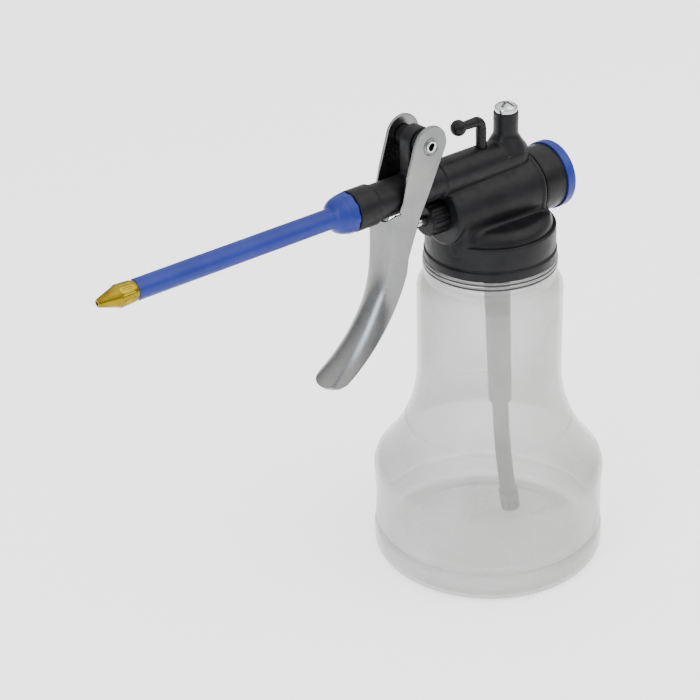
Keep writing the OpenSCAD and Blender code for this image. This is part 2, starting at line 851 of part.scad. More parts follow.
bottle();
neck_ring(neck_groove_z[0]);  // neck_ring_lower
neck_ring(neck_groove_z[1]);  // neck_ring_upper
neck_gasket();
pump_head();
end_cap();
end_cap_disc();
end_cap_o_ring();
front_gland();
rod_seal();
piston_rod();
piston();
piston_cup_seal();
return_spring();
trigger_lever();
pivot_pin();
valve_screw();
screw_washer();
outlet_valve_spring();
outlet_valve_ball();
inlet_valve_seat();
inlet_valve_ball();
suction_sleeve();
suction_tube();
suction_strainer();
shutoff_lever();
shutoff_o_ring();
spout();
spout_seal();
nozzle_tip();
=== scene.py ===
"""A hand pump oiler: clear bottle, black pump head, pressed trigger, blue spout and brass tip.

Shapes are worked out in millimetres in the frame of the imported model, and made in metres.
"""
import json
import math

import bmesh
import bpy
import numpy as np
from mathutils import Matrix, Vector


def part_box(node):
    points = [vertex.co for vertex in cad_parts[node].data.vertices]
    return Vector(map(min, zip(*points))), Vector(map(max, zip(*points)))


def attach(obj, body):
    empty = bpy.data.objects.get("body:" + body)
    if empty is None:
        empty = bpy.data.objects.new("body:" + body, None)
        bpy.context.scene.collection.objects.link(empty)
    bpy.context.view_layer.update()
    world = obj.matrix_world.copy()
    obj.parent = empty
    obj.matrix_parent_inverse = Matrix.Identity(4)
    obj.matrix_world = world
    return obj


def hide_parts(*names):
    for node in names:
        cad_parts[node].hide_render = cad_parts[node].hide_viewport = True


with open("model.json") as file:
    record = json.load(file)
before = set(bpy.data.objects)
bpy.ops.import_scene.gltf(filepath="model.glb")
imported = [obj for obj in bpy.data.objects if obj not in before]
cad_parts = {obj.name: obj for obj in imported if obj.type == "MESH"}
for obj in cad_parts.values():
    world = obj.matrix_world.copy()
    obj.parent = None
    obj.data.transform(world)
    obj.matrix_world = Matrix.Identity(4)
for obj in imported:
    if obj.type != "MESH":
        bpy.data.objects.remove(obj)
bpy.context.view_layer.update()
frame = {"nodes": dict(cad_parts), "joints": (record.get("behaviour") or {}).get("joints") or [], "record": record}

MM = 0.001
TURN = 2 * math.pi


# ---------------------------------------------------------------- places taken from the frame

def lowest(node):
    """The low corner of a node's box, in millimetres."""
    return np.array(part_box(node)[0]) / MM


def highest(node):
    """The high corner of a node's box, in millimetres."""
    return np.array(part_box(node)[1]) / MM


def middle(node):
    """The middle of a node's box, in millimetres."""
    return (lowest(node) + highest(node)) / 2


def joint_point(name):
    """The point a joint turns or slides about, in millimetres."""
    joint = next(j for j in frame["joints"] if j["name"] == name)
    return np.array(joint["pos_m"]) / MM


FOOT_R = highest("bottle")[0]
MOUTH_Z = highest("bottle")[2]
COLLAR_R = 20.3
CEILING_Z = highest("neck_gasket")[2]
COLLAR_Z = MOUTH_Z - 6.1
LEDGE_Z = MOUTH_Z + 4.6
PUMP_Z = middle("end_cap")[2]
PUMP_REAR_X = lowest("end_cap_o_ring")[0] + 1.16
PUMP_FRONT_X = highest("front_gland")[0] - 6.1
SPOUT_Z = middle("nozzle_tip")[2]
BARREL_FRONT_X = highest("pump_head")[0]
SPOUT_END_X = highest("spout")[0]
TIP_END_X = highest("nozzle_tip")[0]
POST_X = middle("screw_washer")[0]
POST_TOP_Z = lowest("screw_washer")[2]
SHUTOFF_X = joint_point("shutoff_turn")[0]
PIVOT = joint_point("trigger_pivot")
EAR_OUT_Y = highest("trigger_lever")[1]
PIN_R = 1.5
CAP_X = highest("end_cap")[0]
CAP_END_X = lowest("end_cap")[0]
CAP_R = highest("end_cap")[1]
DISC_END_X = lowest("end_cap_disc")[0]
DISC_R = highest("end_cap_disc")[1]
WEB_X = highest("piston_rod")[0] + 1.05


# ---------------------------------------------------------------- materials

def shader(name, **sockets):
    """A material whose Principled shader has the given socket values."""
    material = bpy.data.materials.new(name)
    material.use_nodes = True
    principled = material.node_tree.nodes["Principled BSDF"]
    for socket, value in sockets.items():
        principled.inputs[socket.replace("_", " ")].default_value = value
    return material


def add(material, kind, **values):
    node = material.node_tree.nodes.new(kind)
    for name, value in values.items():
        if name in node.inputs:
            node.inputs[name].default_value = value
        else:
            setattr(node, name, value)
    return node


def join(material, source, output, target, socket):
    material.node_tree.links.new(source.outputs[output], target.inputs[socket])


def principled_of(material):
    return material.node_tree.nodes["Principled BSDF"]


def noise(material, scale, detail=3.0, roughness=0.5, stretch=None):
    """A noise texture in object space; scale is in features per metre."""
    place = add(material, "ShaderNodeTexCoord")
    texture = add(material, "ShaderNodeTexNoise", Scale=scale, Detail=detail, Roughness=roughness)
    if stretch is None:
        join(material, place, "Object", texture, "Vector")
    else:
        mapping = add(material, "ShaderNodeMapping")
        mapping.inputs["Scale"].default_value = stretch
        join(material, place, "Object", mapping, "Vector")
        join(material, mapping, "Vector", texture, "Vector")
    return texture


def ranged(material, texture, low, high, socket, start=0.3, end=0.7, output="Fac"):
    """Drives a shader socket from a texture, between two values."""
    limits = add(material, "ShaderNodeMapRange")
    limits.inputs["From Min"].default_value = start
    limits.inputs["From Max"].default_value = end
    limits.inputs["To Min"].default_value = low
    limits.inputs["To Max"].default_value = high
    join(material, texture, output, limits, "Value")
    join(material, limits, "Result", principled_of(material), socket)


def tinted(material, texture, low, high, start=0.3, end=0.7, output="Fac"):
    """Varies the base colour between two colours with a texture."""
    ramp = add(material, "ShaderNodeValToRGB")
    ramp.color_ramp.elements[0].position = start
    ramp.color_ramp.elements[1].position = end
    ramp.color_ramp.elements[0].color = (*low, 1)
    ramp.color_ramp.elements[1].color = (*high, 1)
    join(material, texture, output, ramp, "Fac")
    join(material, ramp, "Color", principled_of(material), "Base Color")


def bumped(material, texture, strength, distance, output="Fac"):
    bump = add(material, "ShaderNodeBump", Strength=strength, Distance=distance)
    join(material, texture, output, bump, "Height")
    join(material, bump, "Normal", principled_of(material), "Normal")


def black_plastic():
    material = shader("black_plastic", Roughness=0.4, Specular_IOR_Level=0.15)
    tinted(material, noise(material, 160, 4), (0.0035, 0.0035, 0.004), (0.007, 0.007, 0.008))
    ranged(material, noise(material, 420, 4), 0.33, 0.48, "Roughness")
    bumped(material, noise(material, 900, 3), 0.12, 0.0003)
    return material


def blue_plastic():
    material = shader("blue_plastic", Roughness=0.4, Specular_IOR_Level=0.2)
    tinted(material, noise(material, 90, 3), (0.009, 0.017, 0.15), (0.015, 0.026, 0.20))
    ranged(material, noise(material, 500, 3), 0.3, 0.44, "Roughness")
    bumped(material, noise(material, 700, 3), 0.08, 0.0003)
    return material


def zinc_sheet():
    material = shader("zinc_sheet", Metallic=1.0, Roughness=0.34)
    tinted(material, noise(material, 60, 5, 0.6), (0.148, 0.151, 0.154), (0.215, 0.212, 0.207))
    ranged(material, noise(material, 240, 5, 0.6, (1, 1, 0.25)), 0.2, 0.34, "Roughness")
    bumped(material, noise(material, 1100, 4, 0.6, (1, 1, 0.3)), 0.06, 0.0003)
    return material


def bright_steel():
    material = shader("bright_steel", Metallic=1.0, Roughness=0.16)
    tinted(material, noise(material, 120, 3), (0.42, 0.43, 0.44), (0.58, 0.58, 0.59))
    ranged(material, noise(material, 600, 3), 0.1, 0.24, "Roughness")
    return material


def spring_wire():
    material = shader("spring_wire", Metallic=1.0, Roughness=0.3)
    tinted(material, noise(material, 300, 3), (0.4, 0.4, 0.42), (0.56, 0.56, 0.58))
    return material


def brass():
    material = shader("brass", Metallic=1.0, Roughness=0.22)
    tinted(material, noise(material, 200, 4), (0.12, 0.08, 0.003), (0.30, 0.215, 0.014))
    ranged(material, noise(material, 700, 3), 0.15, 0.3, "Roughness")
    return material


def rubber():
    material = shader("rubber", Roughness=0.7)
    tinted(material, noise(material, 300, 3), (0.012, 0.012, 0.012), (0.022, 0.022, 0.022))
    return material


def pale_seal():
    material = shader("pale_seal", Roughness=0.5)
    tinted(material, noise(material, 200, 3), (0.55, 0.56, 0.56), (0.66, 0.67, 0.67))
    return material


def milky_plastic():
    material = shader("milky_plastic", Roughness=0.45)
    tinted(material, noise(material, 120, 3), (0.06, 0.058, 0.05), (0.1, 0.097, 0.086))
    return material


def clear_plastic():
    """Milky clear plastic: half see-through where it faces the eye, denser where it turns away."""
    material = shader("clear_plastic", Roughness=0.2, Specular_IOR_Level=0.4)
    tinted(material, noise(material, 55, 5, 0.6), (0.42, 0.415, 0.395), (0.53, 0.527, 0.515))
    facing = add(material, "ShaderNodeLayerWeight", Blend=0.3)
    ranged(material, facing, 0.26, 0.85, "Alpha", 0.0, 1.0, "Facing")
    bumped(material, noise(material, 140, 4), 0.12, 0.0006)
    return material


MATERIALS = {
    "bottle_plastic": clear_plastic(),
    "black_plastic": black_plastic(),
    "blue_plastic": blue_plastic(),
    "white_plastic": milky_plastic(),
    "steel": bright_steel(),
    "zinc": zinc_sheet(),
    "brass": brass(),
    "spring_steel": spring_wire(),
    "seal_rubber": rubber(),
    "light_seal": pale_seal(),
}


# ---------------------------------------------------------------- pieces

def piece(name, verts, faces, body, slot, replaced=(), crease=None):
    """A mesh piece from points in millimetres; crease is the angle above which an edge stays sharp."""
    mesh = bpy.data.meshes.new(name)
    mesh.from_pydata([tuple(v) for v in np.asarray(verts) * MM], [], [tuple(f) for f in faces])
    mesh.validate()
    work = bmesh.new()
    work.from_mesh(mesh)
    bmesh.ops.recalc_face_normals(work, faces=work.faces)
    work.to_mesh(mesh)
    work.free()
    obj = bpy.data.objects.new(name, mesh)
    bpy.context.scene.collection.objects.link(obj)
    mesh.materials.append(MATERIALS[slot])
    mesh.shade_smooth()
    if crease:
        mesh.set_sharp_from_angle(angle=math.radians(crease))
    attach(obj, body)
    if replaced:
        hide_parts(*replaced)
    return obj


def arc(centre, radius, start, end, count):
    angles = np.radians(np.linspace(start, end, count + 1))
    return [(centre[0] + radius * math.cos(a), centre[1] + radius * math.sin(a)) for a in angles]


def softened(outline, radius=0.3, count=4):
    """A closed outline with its corners rounded; a point may carry its own radius as a third value."""
    result = []
    total = len(outline)
    for i, point in enumerate(outline):
        here = np.array(point[:2], float)
        back = np.array(outline[i - 1][:2], float) - here
        ahead = np.array(outline[(i + 1) % total][:2], float) - here
        wanted = point[2] if len(point) > 2 else radius
        long_back, long_ahead = np.linalg.norm(back), np.linalg.norm(ahead)
        back, ahead = back / long_back, ahead / long_ahead
        half = math.acos(np.clip(back @ ahead, -1, 1)) / 2
        if wanted <= 0 or half > math.radians(88) or half < 0.02:
            result.append(tuple(here))
            continue
        reach = min(wanted / math.tan(half), 0.45 * long_back, 0.45 * long_ahead)
        first, last = here + back * reach, here + ahead * reach
        for k in range(count + 1):
            t = k / count
            result.append(tuple((1 - t) ** 2 * first + 2 * t * (1 - t) * here + t ** 2 * last))
    return result


def turned(outline, sides=128, axis="z", centre=(0, 0, 0), swell=None):
    """Points and faces of a closed outline of (radius, height) turned about an axis.
    swell(height, radius, angle) may add to the radius."""
    ring = len(outline)
    verts, faces = [], []
    for s in range(sides):
        angle = TURN * s / sides
        for radius, height in outline:
            r = radius + (swell(height, radius, angle) if swell else 0)
            u, v = r * math.cos(angle), r * math.sin(angle)
            if axis == "z":
                local = (u, v, height)
            elif axis == "x":
                local = (height, u, v)
            else:
                local = (v, height, u)
            verts.append([local[i] + centre[i] for i in range(3)])
    for s in range(sides):
        for k in range(ring):
            a = s * ring + k
            b = s * ring + (k + 1) % ring
            c = (s + 1) % sides * ring + (k + 1) % ring
            d = (s + 1) % sides * ring + k
            faces.append((a, d, c, b))
    return verts, faces


# ---------------------------------------------------------------- solids from distance functions

def both(a, b, edge=0.0):
    """Where both solids are, with an outside edge of that radius."""
    if edge <= 0:
        return np.maximum(a, b)
    return np.minimum(-edge, np.maximum(a, b)) + np.hypot(np.maximum(a + edge, 0), np.maximum(b + edge, 0))


def either(a, b, fillet=0.0):
    """Where either solid is, with a fillet of that radius between them."""
    if fillet <= 0:
        return np.minimum(a, b)
    corner = np.hypot(np.maximum(fillet - a, 0), np.maximum(fillet - b, 0))
    return np.maximum(fillet, np.minimum(a, b)) - corner


def without(a, b, edge=0.0):
    """Where the first solid is and the second is not."""
    return both(a, -b, edge)


def bar_x(p, x0, r0, x1, r1, z, edge=0.0, y=0.0):
    """A round bar along X, from radius r0 at x0 to r1 at x1."""
    slope = (r1 - r0) / (x1 - x0)
    side = (np.hypot(p[1] - y, p[2] - z) - r0 - slope * (p[0] - x0)) / math.hypot(1, slope)
    return both(side, np.maximum(x0 - p[0], p[0] - x1), edge)


def bar_z(p, x, y, z0, z1, radius, edge=0.0):
    """A round bar along Z."""
    return both(np.hypot(p[0] - x, p[1] - y) - radius, np.maximum(z0 - p[2], p[2] - z1), edge)


def cone_z(p, x, y, z0, r0, z1, r1):
    """A cone along Z, from radius r0 at z0 to r1 at z1."""
    slope = (r1 - r0) / (z1 - z0)
    side = (np.hypot(p[0] - x, p[1] - y) - r0 - slope * (p[2] - z0)) / math.hypot(1, slope)
    return np.maximum(side, np.maximum(z0 - p[2], p[2] - z1))


def bar_y(p, x, z, half, radius, edge=0.0):
    """A round bar along Y, to the same distance either side."""
    return both(np.hypot(p[0] - x, p[2] - z) - radius, np.abs(p[1]) - half, edge)


def ball(p, centre, radius):
    """A ball."""
    return np.sqrt(sum((p[i] - centre[i]) ** 2 for i in range(3))) - radius


def block(p, low, high, edge=0.0):
    q = [np.abs(p[i] - (low[i] + high[i]) / 2) - (high[i] - low[i]) / 2 + edge for i in range(3)]
    outside = np.sqrt(sum(np.maximum(v, 0) ** 2 for v in q))
    return outside + np.minimum(np.maximum(np.maximum(q[0], q[1]), q[2]), 0) - edge


def skin(shape, low, high, step):
    """Points and four-sided faces of the surface where shape(points) is zero."""
    count = [int(math.ceil((high[i] - low[i]) / step)) + 1 for i in range(3)]
    axes = [np.float32(low[i]) + np.float32(step) * np.arange(count[i], dtype=np.float32) for i in range(3)]
    values = np.empty(count, np.float32)
    for i, x in enumerate(axes[0]):
        grid_y, grid_z = np.meshgrid(axes[1], axes[2], indexing="ij")
        values[i] = shape((np.full_like(grid_y, x), grid_y, grid_z))
    inside = values < 0
    cells = tuple(n - 1 for n in count)
    total = np.zeros(cells + (3,), np.float32)
    hits = np.zeros(cells, np.float32)
    crossings = []
    for axis in range(3):
        near = [slice(None)] * 3
        far = [slice(None)] * 3
        near[axis], far[axis] = slice(None, -1), slice(1, None)
        a, b = values[tuple(near)], values[tuple(far)]
        crossed = inside[tuple(near)] != inside[tuple(far)]
        index = np.argwhere(crossed)
        share = a[crossed] / (a[crossed] - b[crossed])
        crossings.append((index, inside[tuple(near)][crossed]))
        others = [k for k in range(3) if k != axis]
        for da in (0, 1):
            for db in (0, 1):
                cell = index.copy()
                cell[:, others[0]] -= da
                cell[:, others[1]] -= db
                ok = np.all((cell >= 0) & (cell < np.array(cells)), axis=1)
                point = index[ok].astype(np.float32)
                point[:, axis] += share[ok]
                key = tuple(cell[ok].T)
                np.add.at(total, key, point)
                np.add.at(hits, key, 1)
    used = np.argwhere(hits > 0)
    number = np.full(cells, -1, np.int64)
    number[tuple(used.T)] = np.arange(len(used))
    verts = total[tuple(used.T)] / hits[tuple(used.T)][:, None] * step + np.array(low, np.float32)
    faces = []
    for axis, (index, starts_inside) in enumerate(crossings):
        o1, o2 = (axis + 1) % 3, (axis + 2) % 3
        corners = []
        for d1, d2 in ((1, 1), (0, 1), (0, 0), (1, 0)):
            cell = index.copy()
            cell[:, o1] -= d1
            cell[:, o2] -= d2
            corners.append(cell)
        ok = np.all([np.all((c >= 0) & (c < np.array(cells)), axis=1) for c in corners], axis=0)
        quad = np.stack([number[tuple(c[ok].T)] for c in corners], axis=1)
        flip = ~starts_inside[ok]
        quad[flip] = quad[flip][:, ::-1]
        faces.append(quad)
    verts = settled(shape, verts.astype(np.float64), step)
    return verts, np.concatenate(faces)


def settled(shape, verts, step):
    """Moves points along the shape's gradient on to its surface."""
    reach = step * 0.1
    for _ in range(2):
        value = shape(tuple(verts.T))
        slope = np.stack([
            (shape(tuple((verts + d).T)) - shape(tuple((verts - d).T))) / (2 * reach)
            for d in np.eye(3) * reach], axis=1)
        length = np.maximum((slope ** 2).sum(1), 0.25)
        shift = -slope * (value / length)[:, None]
        verts = verts + np.clip(shift, -step * 0.4, step * 0.4)
    return verts


def moulded(name, shape, low, high, step, body, slot, replaced=()):
    verts, faces = skin(shape, low, high, step)
    return piece(name, verts, faces, body, slot, replaced)


# ---------------------------------------------------------------- bottle

GRIP_R = 22.9
NECK_R = 17.5
# The next three size the dark neck rings. These are painted shade: they stand for the shadow in the neck grooves
# and the black collar seen through the clear neck.
SHADE_RING_DEPTH = 1.1
SHADE_RING_PROUD = 0.17
SHADE_RING_SWELL = 0.13
NECK_BORE_R = 15.9
THREAD_TIP_R = 18.4
THREAD_START_Z = 107
THREAD_PITCH = 3
THREAD_TURNS = 1.25
WALL = 1.2
HEEL_R = 3
SHOULDER_R = 5.5
SHOULDER_Z = 30
SHOULDER_INSET = 5.7
FLARE_TOP_Z = 68
SEAM_Z = 48.5
GRIP_TURN_R = 5.8
GRIP_TURN_Z = 94.6
BEAD_R = 20.9
BEAD_FOOT_R = 20.6
GROOVE_R = 19.7


def bottle_side(inward):
    """The flared side from the heel up to the grip, moved in by the wall."""
    shoulder = (FOOT_R - SHOULDER_INSET, SHOULDER_Z)
    rise, run = FLARE_TOP_Z - shoulder[1], GRIP_R - shoulder[0]
    flare_r = (rise ** 2 + run ** 2 - SHOULDER_R ** 2) / (2 * (SHOULDER_R - run))
    flare = (GRIP_R + flare_r, FLARE_TOP_Z)
    meet = math.degrees(math.atan2(rise, flare[0] - shoulder[0]))
    waist = FOOT_R - 0.6
    points = arc((FOOT_R - HEEL_R, HEEL_R), HEEL_R - inward, -90, 0, 8)
    points += [(FOOT_R - inward, 7.9), (FOOT_R - 0.15 - inward, 8.5), (waist - 0.2 - inward, 9.0),
               (waist - 1 - inward, 9.5), (waist - 0.9 - inward, 9.9), (waist - inward, 10.7),
               (waist + 0.15 - inward, 12.2), (waist - inward, 14), (waist - inward, 24)]
    points += arc(shoulder, SHOULDER_R - inward, 0, meet, 10)
    points += arc(flare, flare_r + inward, 180 + meet, 180, 30)
    return points


def creased(points, height, depth):
    """The outline with a fine groove cut at that height."""
    radii = np.interp([height - 0.5, height, height + 0.35], [z for _, z in points], [r for r, _ in points])
    groove = [(radii[0] + 0.06, height - 0.5), (radii[1] - depth, height), (radii[2], height + 0.35)]
    below = [point for point in points if point[1] < height - 0.7]
    above = [point for point in points if point[1] > height + 0.6]
    return below + groove + above


def helix_ridge(root, tip, start_z, pitch, turns, half=0.65):
    """A thread ridge that climbs once round and tapers away at both ends."""
    steps = int(turns * 96)
    verts = []
    for i in range(steps + 1):
        angle = TURN * turns * i / steps
        fade = min(1, i / 8, (steps - i) / 8)
        z = start_z + pitch * turns * i / steps
        crest = root + 0.05 + (tip - root - 0.05) * fade
        for radius, dz in ((root, -half), (crest, -half * 0.45), (crest, half * 0.45), (root, half)):
            verts.append((radius * math.cos(angle), radius * math.sin(angle), z + dz))
    faces = [(4 * i + k, 4 * i + (k + 1) % 4, 4 * i + 4 + (k + 1) % 4, 4 * i + 4 + k)
             for i in range(steps) for k in range(4)]
    faces += [(3, 2, 1, 0), tuple(4 * steps + k for k in range(4))]
    return verts, faces


def bottle():
    turn = (GRIP_R - GRIP_TURN_R, GRIP_TURN_Z)
    ring_angle = math.degrees(math.acos((BEAD_FOOT_R - turn[0]) / GRIP_TURN_R))
    outside = creased(bottle_side(0), SEAM_Z, 0.28) + arc(turn, GRIP_TURN_R, 0, ring_angle, 10)
    for groove_z, bead_top in ((103.15, 104.6), (104.65, 105.72)):
        outside += softened([(BEAD_FOOT_R, groove_z), (GROOVE_R, groove_z + 0.05), (GROOVE_R, groove_z + 0.6),
                             (BEAD_R, groove_z + 0.65), (BEAD_R, bead_top)], 0.1)
    outside += [(NECK_R, 105.8)]
    outside += [(NECK_R, MOUTH_Z - 0.4), (NECK_R - 0.4, MOUTH_Z)]
    inside = [(0.001, 5.4), (25.5, 5.0), (29.5, 1.5)] + bottle_side(WALL)
    inside += arc(turn, GRIP_TURN_R - WALL, 0, 90, 8) + [(NECK_BORE_R, 99.2), (NECK_BORE_R, MOUTH_Z)]
    underside = [(0.001, 4.2), (27, 3.6), (31, 0)]
    outline = outside + inside[::-1] + underside
    piece("bottle_shell", *turned(outline, 192), "bottle", "bottle_plastic", ("bottle",), crease=40)
    # Dark rings in the two neck grooves, painted shade for the groove shadows and the black collar seen through
    # the clear neck. They stand proud of their nodes and are taller than them, so the dark lines read thicker.
    for node in ("neck_ring_lower", "neck_ring_upper"):
        outer = highest(node)[0] + SHADE_RING_PROUD
        inner = outer - SHADE_RING_DEPTH
        low, high = lowest(node)[2] - SHADE_RING_SWELL, highest(node)[2] + SHADE_RING_SWELL
        ring = softened([(inner, low), (outer, low), (outer, high), (inner, high)], 0.1)
        piece(f"bottle_{node}", *turned(ring, 192), "bottle", "seal_rubber", (node,), crease=60)
    ridge = helix_ridge(NECK_R - 0.2, THREAD_TIP_R, THREAD_START_Z, THREAD_PITCH, THREAD_TURNS)
    piece("bottle_thread", *ridge, "bottle", "bottle_plastic", crease=30)


# ---------------------------------------------------------------- pump head

SOCKET_R = 3.9
SOCKET_X = 44.4
BARREL_R = 5.85
MUZZLE_R = 6.2
PUMP_REAR_R = 11
PUMP_FRONT_R = 9.4
PUMP_BORE_R = 6
GLAND_BORE_R = 4.4
ROD_BORE_R = 1.75
OIL_BORE_R = 1.5
VALVE_BORE_R = 2.2
SHUTOFF_BORE_R = 1.85
CAP_STUB_R = 9
PEDESTAL_Y = 9.3
LUG_Y = 2.3
LUG_R = 4.5
BOSS_R = 3.3
THIN_BARREL_R = 5.5
DOME_H = 3.8
POST_R = 3.8
POST_FOOT_R = 6.6
POST_FOOT_Z = (SPOUT_Z + 2.5, SPOUT_Z + 7.4)


def head_shape(p):
    pump = bar_x(p, PUMP_REAR_X, PUMP_REAR_R, PUMP_FRONT_X, PUMP_FRONT_R, PUMP_Z, 0.7)
    pump = either(pump, bar_x(p, PUMP_REAR_X, 11.3, PUMP_REAR_X + 1.2, 11.2, PUMP_Z, 0.4), 0.5)
    pedestal = block(p, (PUMP_REAR_X, -PEDESTAL_Y, LEDGE_Z - 4),
                     (PUMP_FRONT_X - 0.1, PEDESTAL_Y, PUMP_Z), 0.9)
    rim = np.hypot(p[0], p[1])
    pedestal = both(pedestal, rim - (COLLAR_R - 0.15), 0.8)
    dome = both(rim - (COLLAR_R - 1.2), p[2] - LEDGE_Z - DOME_H, DOME_H)
    dome = np.maximum(dome, CEILING_Z - p[2])
    body = either(either(pump, pedestal, 0.3), dome, 1.8)
    barrel = either(bar_x(p, POST_X - 1.8, BARREL_R, 22, BARREL_R, SPOUT_Z, 0.3),
                    ball(p, (POST_X - 1.8, 0, SPOUT_Z), BARREL_R))
    barrel = either(barrel, bar_x(p, 20, THIN_BARREL_R, BARREL_FRONT_X - 5, THIN_BARREL_R, SPOUT_Z))
    muzzle = bar_x(p, BARREL_FRONT_X - 7.6, MUZZLE_R, BARREL_FRONT_X, MUZZLE_R, SPOUT_Z, 0.35)
    barrel = either(barrel, muzzle)
    lug = either(block(p, (PIVOT[0] - LUG_R, -LUG_Y, SPOUT_Z), (PIVOT[0] + LUG_R, LUG_Y, PIVOT[2]), 0.4),
                 bar_y(p, PIVOT[0], PIVOT[2], LUG_Y, LUG_R, 0.4))
    lug = either(lug, bar_y(p, PIVOT[0], PIVOT[2], THIN_BARREL_R, BOSS_R, 0.25), 0.5)
    barrel = either(barrel, lug, 0.8)
    barrel = either(barrel, cone_z(p, POST_X, 0, POST_FOOT_Z[0], POST_FOOT_R, POST_FOOT_Z[1], POST_R), 0.5)
    barrel = either(barrel, bar_z(p, POST_X, 0, SPOUT_Z, POST_TOP_Z, POST_R, 0.25), 0.4)
    body = either(body, barrel, 0.45)
    # bores
    body = without(body, bar_x(p, 10, ROD_BORE_R, 30, ROD_BORE_R, PUMP_Z))
    body = without(body, bar_x(p, 17.4, GLAND_BORE_R, 30, GLAND_BORE_R, PUMP_Z), 0.2)
    body = without(body, bar_x(p, POST_X, OIL_BORE_R, 60, OIL_BORE_R, SPOUT_Z))
    body = without(body, bar_x(p, SOCKET_X, SOCKET_R, 60, SOCKET_R, SPOUT_Z), 0.2)
    body = without(body, bar_z(p, POST_X, 0, PUMP_Z, 170, VALVE_BORE_R), 0.1)
    body = without(body, bar_z(p, SHUTOFF_X, 0, 133, 160, SHUTOFF_BORE_R), 0.1)
    body = without(body, bar_y(p, PIVOT[0], PIVOT[2], 9, PIN_R + 0.1))
    # room for the end cap round the cylinder's stub
    stub = bar_x(p, -19.4, CAP_STUB_R, PUMP_REAR_X + 1, CAP_STUB_R, PUMP_Z)
    room = bar_x(p, -30, CAP_R + 0.5, PUMP_REAR_X - 0.03, CAP_R + 0.5, PUMP_Z)
    body = without(either(body, stub), np.maximum(room, -stub))
    return without(body, bar_x(p, -25, PUMP_BORE_R, 16.3, PUMP_BORE_R, PUMP_Z))


def head():
    moulded("head_body", head_shape, (-20.6, -21, CEILING_Z - 0.6), (BARREL_FRONT_X + 0.6, 21, 158.4), 0.32,
            "head", "black_plastic", ("pump_head",))
    rim_r = COLLAR_R + 0.3
    groove_z = COLLAR_Z + 3
    outline = softened([
        (18.8, COLLAR_Z, 0.2), (rim_r, COLLAR_Z, 0.35), (rim_r, groove_z - 0.3, 0.25),
        (COLLAR_R - 0.25, groove_z, 0.12), (COLLAR_R - 0.25, groove_z + 0.4, 0.1),
        (COLLAR_R, groove_z + 0.7, 0.15), (COLLAR_R - 0.1, LEDGE_Z, 0.55),
        (17.5, LEDGE_Z + 0.05, 0), (16, LEDGE_Z - 1, 0), (16, CEILING_Z, 0.1), (18.8, CEILING_Z, 0.2)])
    piece("head_collar", *turned(outline, 192), "head", "black_plastic", crease=50)


def end_cap():
    outline = softened([(8.98, CAP_END_X + 3, 0), (9.0, CAP_X, 0.1), (CAP_R - 0.1, CAP_X, 0.5),
                        (CAP_R, CAP_X - 1, 0.3), (CAP_R - 0.1, CAP_END_X, 0.2), (8.5, CAP_END_X, 0.1),
                        (8.5, CAP_END_X + 1.2, 0.1), (0.001, CAP_END_X + 1.2, 0), (0.001, CAP_END_X + 3, 0)])
    cap = turned(outline, 128, "x", (0, 0, PUMP_Z))
    piece("end_cap_turned", *cap, "head", "black_plastic", ("end_cap",), 50)
    inner_x = highest("end_cap_disc")[0]
    outline = softened([(0.001, DISC_END_X, 0), (DISC_R, DISC_END_X, 0.9), (DISC_R, CAP_END_X, 0.15),
                        (8.5, CAP_END_X, 0.1), (8.5, inner_x, 0.1), (0.001, inner_x, 0)], count=6)
    disc = turned(outline, 128, "x", (0, 0, PUMP_Z))
    piece("end_cap_face", *disc, "head", "blue_plastic", ("end_cap_disc",), 50)


def rows_of(outline, step):
    """The outline with extra points, at most a step apart."""
    rows = []
    for (r0, x0), (r1, x1) in zip(outline, outline[1:] + outline[:1]):
        parts = max(1, int(math.hypot(r1 - r0, x1 - x0) / step))
        rows += [(r0 + (r1 - r0) * k / parts, x0 + (x1 - x0) * k / parts) for k in range(parts)]
    return rows


def gland():
    end_x = highest("front_gland")[0]

    def ribs(x, radius, angle):
        if x < PUMP_FRONT_X + 0.2 or radius < 3:
            return 0
        fade = min(1, max(0, (end_x - 0.2 - x) / 0.6))
        return 0.5 * fade * min(1, max(0, 0.5 + 1.6 * math.cos(14 * angle)))

    outline = softened([(1.7, PUMP_FRONT_X - 2, 0), (1.7, end_x, 0.15), (4.75, end_x, 0.3),
                        (4.8, PUMP_FRONT_X + 0.3, 0.1), (4.35, PUMP_FRONT_X - 2, 0)])
    piece("gland_ribbed", *turned(rows_of(outline, 0.5), 280, "x", (0, 0, PUMP_Z), ribs), "head",
          "black_plastic", ("front_gland",), 40)


def shutoff_shape(p):
    z0 = lowest("shutoff_lever")[2]
    arm_z = highest("shutoff_lever")[2] - 2.45
    ball_x = highest("shutoff_lever")[0] - 2.45
    shaft = bar_z(p, SHUTOFF_X, 0, z0, arm_z - 2.4, 1.6)
    # quarter bend: part of a ring in the XZ plane
    bend_x, bend_z = SHUTOFF_X + 2.4, arm_z - 2.4
    ring = np.hypot(np.hypot(p[0] - bend_x, p[2] - bend_z) - 2.4, p[1]) - 1.55
    ring = np.maximum(ring, np.maximum(p[0] - bend_x, bend_z - p[2]))
    arm = bar_x(p, bend_x, 1.5, ball_x, 1.3, arm_z)
    return either(either(shaft, ring), either(arm, ball(p, (ball_x, 0, arm_z), 2.45), 0.5))


def shutoff():
    low, high = lowest("shutoff_lever") - 0.4, highest("shutoff_lever") + 0.4
    moulded("shutoff_bent_lever", shutoff_shape, low, high, 0.2,
            "shutoff", "black_plastic", ("shutoff_lever",))


